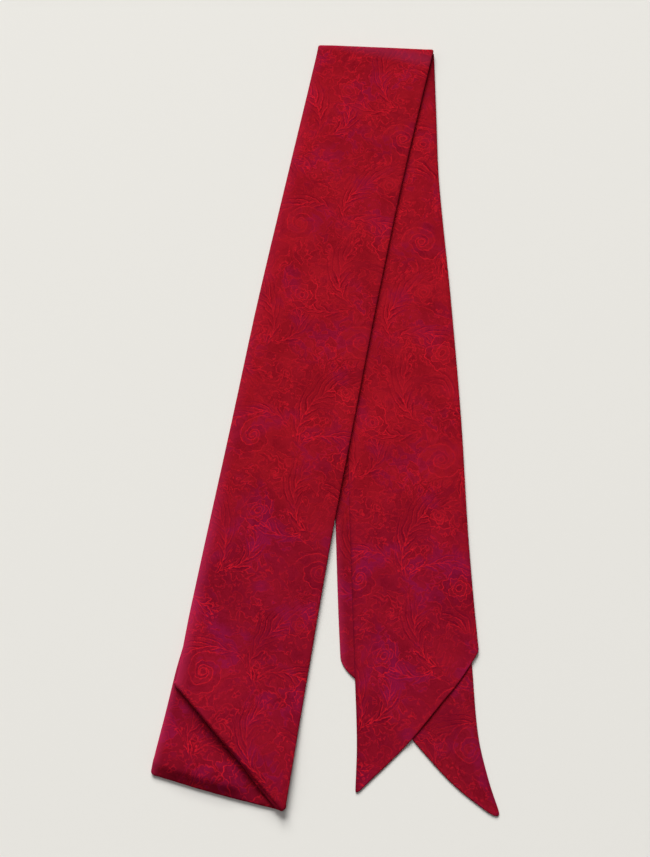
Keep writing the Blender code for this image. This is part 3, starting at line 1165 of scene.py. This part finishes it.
@dataclass
class Stretch:
    """One stretch of the scarf: a sewn tube, pressed flat, that lies where its CAD nodes are."""

    name: str
    nodes: tuple[str, ...]
    finish: SilkFinish
    rests_on: tuple[str, ...]
    seed: float
    held: str = "folded"
    crown: float = 0.5
    crown_run: float = 12.0
    crown_right: float = 1.0  # share of the crown that the right edge has
    ripples: tuple[Ripple, ...] = ()

    from_top = False  # whether the rows start at the top fold

    def lines(self) -> list[Row]:
        """Return the rows from one end of the stretch to the other."""
        raise NotImplementedError

    def place(self, c: float, line: Row) -> Vector:
        """Return the middle surface at place c of a row."""
        raise NotImplementedError

    def crowned(self, c: float) -> float:
        """Round the cloth off towards its long edges.

        Args:
            c: the place across.

        Returns:
            How far it drops there.
        """
        from_edge = (1 - abs(c)) * HALF_WIDTH
        crown = self.crown * (self.crown_right if c > 0 else 1.0)
        return crown * (1 - min(from_edge / self.crown_run, 1.0)) ** 2

    def rippled(self, x: float, y: float) -> float:
        """Add up the ripples, with a faint unevenness of the cloth.

        Args:
            x: a point's x, in the tables' frame.
            y: its y.

        Returns:
            What they add to the height there.
        """
        hand = sum(ripple.height(x, y) for ripple in self.ripples)
        grain_x, grain_y, depth = 26, 34, 0.10
        return hand + depth * noise.noise(Vector((x / grain_x, y / grain_y, self.seed)))

    def half_wall(self, c: float, from_start: float, from_end: float) -> float:
        """Return half the tube's thickness.

        Args:
            c: the place across.
            from_start: distance from the first row.
            from_end: distance from the last row.

        Returns:
            Half the thickness, 0 on the outline.
        """
        side = (1 - abs(c)) * HALF_WIDTH
        near = min(side, from_start, from_end)
        full = HALF_WALL + EDGE_PUFF * math.exp(-(((near - PUFF_PLACE) / PUFF_RUN) ** 2))
        if near >= EDGE_ROUND:
            return full
        return full * math.sqrt(max(1 - (1 - near / EDGE_ROUND) ** 2, 0.0))

    def surface(self) -> tuple[bpy.types.Object, float]:
        """Lay out the middle surface.

        Returns:
            Its object, with the attributes half and cloth, and its area in square millimetres.
        """
        places, lines = column_places(), self.lines()
        points = [[self.place(c, line) for c in places] for line in lines]
        along = [[0.0] * len(places)]
        for before, row in zip(points, points[1:], strict=False):
            along.append([a + (q - p).length for a, p, q in zip(along[-1], before, row, strict=True)])
        last_body = max(i for i, line in enumerate(lines) if line[0] is Line.BODY)
        anchor, heading = (0, -1.0) if self.from_top else (last_body, 1.0)
        start = self.fold_offsets(points, anchor)
        grid = bmesh.new()
        bmesh.ops.create_grid(grid, x_segments=len(places) - 1, y_segments=len(lines) - 1)
        grid.verts.ensure_lookup_table()
        half, cloth = [], []
        for index, vert in enumerate(grid.verts):
            row, column = divmod(index, len(places))
            x, y, z = points[row][column]
            vert.co = Vector((x - ORIGIN.x, y - ORIGIN.y, z)) * MM
            c = places[column]
            run = along[row][column]
            half.append(self.half_wall(c, run, along[-1][column] - run) * MM)
            down = (run - along[anchor][column]) * heading
            cloth.append(((c + 1) * HALF_WIDTH * MM, (down + start[column]) * MM))
        area = sum(face.calc_area() for face in grid.faces) / MM**2
        uv = grid.loops.layers.uv.new("cloth")
        for face in grid.faces:
            for loop in face.loops:
                loop[uv].uv = cloth[loop.vert.index]
        mesh = bpy.data.meshes.new(self.name)
        grid.to_mesh(mesh)
        grid.free()
        first_side = -1.0 if lines[0][0] is Line.HIDDEN_FLAP else 1.0
        if mesh.polygons[0].normal.z * first_side < 0:
            mesh.flip_normals()
        mesh.attributes.new("half", "FLOAT", "POINT").data.foreach_set("value", half)
        return linked(self.name, mesh), area

    def fold_offsets(self, points: list, anchor: int) -> list[float]:
        """Return how far along the cloth each point of the row by the top fold lies.

        Args:
            points: the middle surface, row by row.
            anchor: the number of that row.

        Returns:
            The distances, by column.
        """
        row = points[anchor]
        middle = row[len(row) // 2]
        inner = anchor + AXIS_ROWS if anchor < len(points) // 2 else anchor - AXIS_ROWS
        axis = (middle - points[inner][len(row) // 2]).to_2d().normalized()
        return [(point - middle).to_2d().dot(axis) for point in row]

    def build(self, skin: TubeSkin, brocade: Brocade) -> bpy.types.Object:
        """Args:
            skin: the tree that makes the tube.
            brocade: the pattern.

        Returns:
            The piece.
        """
        surface, area = self.surface()
        piece = skin.apply(surface, brocade.dress(self.finish), self.seed)
        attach(piece, BODY)
        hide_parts(*self.nodes)
        length = self.cut_length()
        cut = min(2 * area * MM**2, 2 * WIDTH * MM * length)
        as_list(self.rests_on)
        faces = len(piece.data.polygons)
        log.info("%s: %d faces, cut %.0f x %.0f mm", self.name, faces, 2 * WIDTH, length / MM)
        return piece

    def cut_length(self) -> float:
        """Measure the cloth along its middle and its two long edges.

        Returns:
            The longest of the three, in metres.
        """
        lines = self.lines()
        lengths = []
        for c in (-1.0, 0.0, 1.0):
            points = [self.place(c, line) for line in lines]
            lengths.append(sum((q - p).length for p, q in zip(points, points[1:], strict=False)))
        return max(lengths) * MM


class FrontStretch(Stretch):
    """The stretch on top of the left leg, from its turned corner up and over the top fold."""

    def lines(self) -> list[Row]:
        """Give the rows from the turned corner to the cloth beneath the top fold.

        Returns:
            The rows, in order.
        """
        turn = [i / TURN_ROWS for i in range(TURN_ROWS + 1)]
        rolled = [i / (2 * TURN_ROWS) for i in range(2 * TURN_ROWS + 1)]
        length = FOLD_Y - (CREASE_LEFT.y + CREASE_RIGHT.y) / 2
        start = (0.004, 0.009, 0.015, 0.022)
        runs = {
            Line.HIDDEN_FLAP: (1.0, 0.99, 0.95, 0.8, 0.55, 0.3, 0.1),
            Line.CREASE: reversed(rolled),
            Line.BODY: [*start, *steps_between(start[-1], 1.0, ROW_STEP / length)],
            Line.FOLD: turn,
            Line.RETURN: (0.3, 0.7, 0.9, 0.98, 1.0),
        }
        return [(kind, share) for kind, shares in runs.items() for share in shares]

    def front_height(self, x: float, y: float) -> float:
        """Find the middle of the cloth over whatever lies beneath it.

        Args:
            x: a point's x, in the tables' frame.
            y: its y.

        Returns:
            The height there.
        """
        fade = 1 - smooth((crease_distance(x, y) - CREASE_FLAT) / CREASE_RUN)
        leg = FRONT_LOW + (FRONT_HIGH - FRONT_LOW) * leg_rise(x, y)
        return leg + max(CREASE_HIGH - leg, 0.0) * fade

    def crease_line(self, c: float) -> tuple[Vector, float]:
        """Find the outermost line of the turned edge.

        Args:
            c: the place across.

        Returns:
            Its point there, and how far the edge stands up.
        """
        spot = (c + 1) / 2
        from_right = (1 - spot) * (CREASE_RIGHT - CREASE_LEFT).length
        edge = CREASE_LEFT.lerp(CREASE_RIGHT, spot)
        probe = 10.0
        side = Vector((across(FRONT_ROWS, edge.y + probe, 1.0) - across(FRONT_ROWS, edge.y, 1.0), probe))
        edge += side.normalized() * corner_cut(from_right, CREASE_CORNER)
        return edge, CREASE_BOW * math.sin(math.pi * spot) ** 1.5

    def turned_edge(self, c: float, turn: float) -> Vector:
        """Lay the half round of the slanted crease.

        Args:
            c: the place across.
            turn: 0 at its top and pi at its bottom.

        Returns:
            The point of the middle surface.
        """
        edge, bow = self.crease_line(c)
        spot = (c + 1) / 2
        inset = CREASE_NOSE * (1 - math.sin(turn))
        shown = smooth((spot - 0.60) / 0.2) * smooth((1 - spot) / 0.06)
        for depth, place, breadth in (CREASE_LIP, CREASE_GROOVE):
            inset -= shown * depth * math.exp(-(((turn / math.pi - place) / breadth) ** 2))
        plan = edge + crease_inward() * inset
        return Vector((plan.x, plan.y, turned_height(CREASE_HIGH + bow, CREASE_LOW + bow * 0.5, turn)))

    def place(self, c: float, line: Row) -> Vector:
        """Lay a point of the middle surface.

        Args:
            c: the place across.
            line: its row.

        Returns:
            The point.
        """
        kind, share = line
        spot = (c + 1) / 2
        if kind is Line.CREASE:
            return self.turned_edge(c, share * math.pi)
        if kind is Line.HIDDEN_FLAP:
            length = (CREASE_RIGHT - CREASE_LEFT).length
            left, right = CREASE_TAPER
            taper = smooth(spot * length / left) * smooth((1 - spot) * length / right)
            away = crease_inward() * (CREASE_CLEAR + share * CREASE_RETURN * taper)
            return self.turned_edge(c, math.pi) + Vector((away.x, away.y, 0.0))
        crease, bow = self.crease_line(c)
        top = top_edge(FRONT_ROWS, c)
        drop = self.crowned(c)
        high = self.front_height(top.x, top.y) - drop * 0.5
        if kind in (Line.FOLD, Line.RETURN):
            turn = share * math.pi if kind is Line.FOLD else math.pi
            y = top.y - FOLD_NOSE * (1 - math.sin(turn))
            point = Vector((across(FRONT_ROWS, y, c), y, turned_height(high, BED, turn)))
            if kind is Line.RETURN:
                point += Vector((0.0, -share * FOLD_RETURN, 0.0))
            return point
        start = crease + crease_inward() * CREASE_NOSE
        y = start.y + (top.y - FOLD_NOSE - start.y) * share
        x = across(FRONT_ROWS, y, c)
        x += (start.x - across(FRONT_ROWS, start.y, c)) * (1 - smooth(share / JOIN_SHARE))
        settle = smooth(share / SETTLE_SHARE)
        height = self.front_height(x, y) + self.rippled(x, y) * settle
        fade = 1 - smooth((crease_distance(x, y) - CREASE_NOSE) / CREASE_RUN)
        height += bow * fade
        return Vector((x, y, height - drop * (0.5 + 0.5 * smooth((1 - share) / TOP_SHARE)) * settle))


class NeckStretch(Stretch):
    """The stretch round the middle fold, with the layers that run up inside the left leg."""

    from_top = True

    def lines(self) -> list[Row]:
        """Give the rows of the upper layer, the fold and the lower layer.

        Returns:
            The rows, in order.
        """
        length = FOLD_Y - TUCK - NECK_LOW
        shares = [0.0]
        for start, end, step in ((0.0, 0.05, 0.8), (0.05, 0.3, 1.9), (0.3, 0.985, 5.0)):
            shares += [*steps_between(start, end, step / length), end]
        shares[-1:] = [1 - step / length for step in reversed(EDGE_STEPS)]
        turn = [i / (TURN_ROWS + 4) for i in range(1, TURN_ROWS + 4)]
        return [
            *((Line.BODY, s) for s in reversed(shares)),
            *((Line.FOLD, s) for s in turn),
            *((Line.RETURN, s) for s in shares),
        ]

    def place(self, c: float, line: Row) -> Vector:
        """Lay a point of the middle surface.

        Args:
            c: the place across.
            line: its row.

        Returns:
            The point.
        """
        kind, share = line
        edge_y = end_y(NECK_END, c)
        side = (1 + c) * HALF_WIDTH
        edge_y += corner_cut(side, NECK_CORNER)
        middle, taper, flat, corner = 0.05, 0.55, 1.0, 12.0
        bulge = NECK_BULGE * (1 - smooth((c - middle) / taper))
        bulge *= 0.5 + 0.5 * smooth((side - flat) / corner)
        drop = self.crowned(c)
        top = BED + STEP + NECK_GAP - 0.4 * drop
        if kind is Line.FOLD:
            y = edge_y + NECK_NOSE * (1 - math.sin(share * math.pi))
            height = turned_height(top, BED, share * math.pi)
            if share < 0.5:
                height += bulge * smooth((y - edge_y) / NECK_RISE)
            return Vector((across(NECK_ROWS, y, c), y, height))
        start = edge_y + NECK_NOSE
        end = top_edge(NECK_ROWS, c).y - TUCK
        y = start + (end - start) * share
        x = across(NECK_ROWS, y, c)
        rise = leg_rise(x, y)
        if kind is Line.RETURN:
            lifted = max(self.rippled(x, y), 0.0) * (1 - rise) * smooth((y - start) / NECK_SETTLE)
            return Vector((x, y, BED + (LEG_TOP - BED) * rise + lifted))
        inside = y - edge_y
        fade = 1 - smooth((inside - NECK_RISE - 1.0) / NECK_FALL)
        roll = bulge * smooth(inside / NECK_RISE) * fade
        low = BED + STEP + NECK_GAP * fade + roll
        high = LEG_TOP + LEG_STEP
        shown = 1 - smooth(crease_distance(x, y) / NECK_SETTLE)
        height = low + (high - low) * rise + self.rippled(x, y) * shown * smooth(inside / NECK_SETTLE)
        return Vector((x, y, height - drop * (0.4 + 0.6 * smooth(share / TOP_SHARE))))


class LooseEnd(Stretch):
    """A loose end, whose rows are distances from its slanted point."""

    end = UNDER_END
    top_rows = FRONT_ROWS  # the outline that it stops short of at the top fold
    short = FOLD_NOSE + FOLD_RETURN + UNDER_GAP
    corners = (4.5, 5.4)  # how far the corners of its end are rounded

    def plan(self, c: float, from_end: float) -> tuple[float, float]:
        """Lay a point of a row on the table, with the corners of the slanted end rounded.

        Args:
            c: the place across.
            from_end: the row's distance from the slanted end.

        Returns:
            The place across after rounding, and y.
        """
        side, from_end = rounded_corner((1 + c) * HALF_WIDTH, from_end, self.corners[0])
        far, from_end = rounded_corner((1 - c) * HALF_WIDTH, from_end, self.corners[1])
        c = side / HALF_WIDTH - 1 if c < 0 else 1 - far / HALF_WIDTH
        low = end_y(self.end, c)
        high = top_edge(self.top_rows, c).y - self.short
        return c, low + (high - low) * from_end / TAIL_LENGTH


class UpperTail(LooseEnd):
    """The upper loose end, on the other one, with its point resting on the surface."""

    end = UPPER_END
    top_rows = UPPER_ROWS
    short = UPPER_TUCK
    corners = (2.2, 1.3)

    def lines(self) -> list[Row]:
        """Give the rows, as distances from the slanted end.

        Returns:
            The rows, in order.
        """
        near, last, step = 150.0, 374.5, 4.0
        top = [TAIL_LENGTH - step for step in reversed(EDGE_STEPS)]
        return [(Line.BODY, d) for d in (*end_rows(near), *steps_between(near, last, step), *top)]

    def place(self, c: float, line: Row) -> Vector:
        """Lay a point of the middle surface.

        Args:
            c: the place across.
            line: its row.

        Returns:
            The point.
        """
        c, y = self.plan(c, line[1])
        x = across(UPPER_ROWS, y, c)
        corner, middle = (
            Vector((across(UNDER_ROWS, end_y(UNDER_END, place), place), end_y(UNDER_END, place)))
            for place in (-1, 0)
        )
        along = (middle - corner).normalized()
        beyond = (Vector((x, y)) - corner).dot(Vector((along.y, -along.x)))
        height = UPPER_TAIL_HEIGHT - STEP * smooth((beyond + 0.5) / POINT_DROP)
        calm = 1 - smooth((beyond - 1) / POINT_CALM) * 0.6
        lift = max(self.rippled(x, y), -RIPPLE_SINK) * calm
        return Vector((x, y, height + lift - self.crowned(c) * (1 - smooth(beyond / POINT_LEVEL))))


class UnderTail(LooseEnd):
    """The lower loose end, flat on the surface."""

    def lines(self) -> list[Row]:
        """Return the rows as distances from the slanted end."""
        near, step = 110.0, 5.0
        return [(Line.BODY, d) for d in (*end_rows(near), *steps_between(near, TAIL_LENGTH, step))]

    def place(self, c: float, line: Row) -> Vector:
        """Lay a point of the middle surface.

        Args:
            c: the place across.
            line: its row.

        Returns:
            The point.
        """
        c, y = self.plan(c, line[1])
        x = across(UNDER_ROWS, y, c)
        return Vector((x, y, BED + max(self.rippled(x, y), 0.0)))


@dataclass
class Studio:
    """Camera, floor and light, for a picture of 650 by 857 pixels."""

    tilt: float = 16.2  # from straight down, in degrees
    distance: float = 592.5
    lens: float = 50.0
    sensor: float = 36.0
    floor: tuple[float, float, float] = (0.765, 0.755, 0.722)
    floor_side: float = 8000.0
    floor_height: float = -0.1
    world: float = 0.14
    lamps: tuple[tuple, ...] = (
        ("key", (-2300.0, 14200.0, 10440.0), 10000.0, 4700.0, (1.0, 0.99, 0.97)),
        ("top", (0.0, 100.0, 2400.0), 1000.0, 4.5, (0.97, 0.985, 1.0)),
        ("side", (-1900.0, 100.0, 1500.0), 1100.0, 3.5, (1.0, 0.98, 0.99)),
    )

    def build(self) -> None:
        """Make all of it."""
        self.camera()
        self.ground()
        self.sky()
        for lamp in self.lamps:
            self.lamp(*lamp)

    def camera(self) -> None:
        """Make the camera, which looks down and a little towards the top fold."""
        data = bpy.data.cameras.new("camera")
        data.lens = self.lens
        data.sensor_width = self.sensor
        data.clip_start = 0.02
        camera = linked("camera", data)
        turn = math.radians(self.tilt)
        place = Vector((0.0, -math.sin(turn), math.cos(turn))) * self.distance
        camera.location = Vector((place.x - ORIGIN.x, place.y - ORIGIN.y, place.z)) * MM
        camera.rotation_euler = (turn, 0.0, 0.0)
        bpy.context.scene.camera = camera

    def ground(self) -> None:
        """Make the plain floor just below the scarf."""
        mesh = bpy.data.meshes.new("floor")
        plane = bmesh.new()
        bmesh.ops.create_grid(plane, x_segments=1, y_segments=1, size=self.floor_side * MM / 2)
        plane.to_mesh(mesh)
        plane.free()
        floor = linked("floor", mesh)
        floor.location = (0.0, 0.0, self.floor_height * MM)
        material = bpy.data.materials.new("floor_paper")
        material.use_nodes = True
        shader = material.node_tree.nodes["Principled BSDF"]
        shader.inputs["Base Color"].default_value = opaque(self.floor)
        shader.inputs["Roughness"].default_value = 0.9
        shader.inputs["Specular IOR Level"].default_value = 0.1
        mesh.materials.append(material)

    def sky(self) -> None:
        """Make the even light from all round."""
        world = bpy.data.worlds.new("studio")
        world.use_nodes = True
        sky = world.node_tree.nodes["Background"]
        sky.inputs["Color"].default_value = (1.0, 0.995, 0.985, 1.0)
        sky.inputs["Strength"].default_value = self.world
        bpy.context.scene.world = world
        bpy.context.scene.view_settings.view_transform = "Standard"

    def lamp(self, name: str, place: tuple, size: float, power: float, colour: tuple) -> None:
        """Make one soft lamp that faces the scarf.

        Args:
            name: the lamp's name.
            place: where it is, in millimetres.
            size: its side, in millimetres.
            power: its power in watts.
            colour: its colour.
        """
        data = bpy.data.lights.new(name, "AREA")
        data.size = size * MM
        data.energy = power
        data.color = colour
        lamp = linked(name, data)
        lamp.location = Vector(place) * MM
        lamp.rotation_euler = (-Vector(place)).to_track_quat("-Z", "Y").to_euler()


def stretches() -> list[Stretch]:
    """Describe the stretches of the scarf.

    Returns:
        The stretches, from the bottom up.
    """
    return [
        UnderTail(
            name="under_tail_silk",
            nodes=("under_tail",),
            finish=SilkFinish(
                "silk_under_tail",
                # painted shade: a darker ground than the front stretch's, though it is the same silk
                ground=(0.284, 0.0072, 0.0130),
                # painted sheen along its left long edge
                edge_width=4.5,
                painted_edge_amount=0.42,
                thread_amount=0.7,
                shift=(31.0, 12.0),
            ),
            rests_on=("floor",),
            seed=4.0,
            crown=0.0,
            ripples=(
                Ripple(30.0, -142.0, -52.0, 42.0, 6.0, 0.22),
                Ripple(13.0, -128.0, 78.0, 34.0, 4.0, 0.20),
                Ripple(36.0, -50.0, 85.0, 90.0, 8.0, 0.12),
                Ripple(20.0, 70.0, 83.0, 100.0, 8.0, 0.12),
            ),
        ),
        UpperTail(
            name="upper_tail_silk",
            nodes=("upper_tail",),
            finish=SilkFinish(
                "silk_upper_tail",
                # painted light: a lighter ground than the front stretch's, though it is the same silk
                ground=(0.338, 0.0078, 0.0160),
                # painted shade along its left long edge
                edge=(0.110, 0.0030, 0.0140),
                edge_width=2.2,
                painted_edge_amount=0.7,
                # painted shadow of the front stretch and the top fold over the top of this leg
                fold=(0.130, 0.0034, 0.0090),
                painted_fold_reach=52.0,
                painted_fold_amount=0.8,
                shift=(8.0, 66.0),
            ),
            rests_on=("under_tail_silk",),
            seed=3.0,
            crown=0.25,
            ripples=(
                Ripple(48.0, -128.0, 66.0, 54.0, 6.0, 0.26),
                Ripple(30.0, -92.0, 80.0, 60.0, 5.0, -0.12),
                Ripple(56.0, -60.0, 88.0, 84.0, 7.0, 0.24),
                Ripple(26.0, 4.0, 82.0, 70.0, 6.0, 0.20),
                Ripple(50.0, 66.0, 91.0, 90.0, 8.0, 0.22),
                Ripple(54.0, 150.0, 86.0, 60.0, 6.0, -0.12),
            ),
        ),
        NeckStretch(
            name="neck_stretch_silk",
            nodes=("neck_stretch", "hidden_layers"),
            finish=SilkFinish(
                "silk_neck",
                # painted shade: a much darker ground than the front stretch's, for the shade below the
                # turned edge, though it is the same silk
                ground=(0.222, 0.0054, 0.0098),
                # painted sheen along its left long edge
                edge_width=4.5,
                shift=(20.0, 40.0),
            ),
            rests_on=("floor", "upper_tail_silk"),
            seed=2.0,
            crown=0.3,
            ripples=(
                Ripple(-63.0, -146.0, 52.0, 36.0, 5.0, 0.30),
                Ripple(-46.0, -160.0, -30.0, 44.0, 4.5, -0.22),
                Ripple(-36.0, -70.0, 76.0, 80.0, 7.0, 0.30),
                Ripple(-18.0, 10.0, 80.0, 90.0, 8.0, 0.26),
                Ripple(-8.0, 96.0, 74.0, 80.0, 6.0, 0.30),
            ),
        ),
        FrontStretch(
            name="front_stretch_silk",
            nodes=("front_stretch",),
            # painted sheen along its left long edge and a painted magenta sheen band below the top fold
            finish=SilkFinish("silk_front", ground=(0.320, 0.0076, 0.0151), painted_fold_amount=0.38),
            rests_on=("neck_stretch_silk",),
            seed=1.0,
            crown=1.1,
            crown_run=10.0,
            crown_right=0.3,
            ripples=(
                Ripple(-38.0, -128.0, -49.0, 46.0, 5.0, 0.28),
                Ripple(-26.0, -88.0, 58.0, 64.0, 7.0, 0.34),
                Ripple(-6.0, -112.0, 72.0, 60.0, 5.0, -0.22),
                Ripple(-44.0, -46.0, 74.0, 58.0, 5.5, -0.20),
                Ripple(-12.0, -22.0, 82.0, 84.0, 8.0, 0.24),
                Ripple(-28.0, 44.0, 70.0, 70.0, 6.0, 0.22),
                Ripple(2.0, 92.0, 80.0, 90.0, 7.0, -0.24),
                Ripple(22.0, 158.0, 74.0, 76.0, 7.0, 0.26),
                Ripple(42.0, 186.0, 96.0, 44.0, 5.0, -0.18),
            ),
        ),
    ]


def main() -> None:
    """Build the studio and the scarf."""
    logging.basicConfig(level=logging.INFO, format="%(name)s: %(message)s")
    Studio().build()
    brocade = Brocade()
    brocade.build()
    skin = TubeSkin()
    for stretch in stretches():
        stretch.build(skin, brocade)


if __name__ == "__main__":
    main()
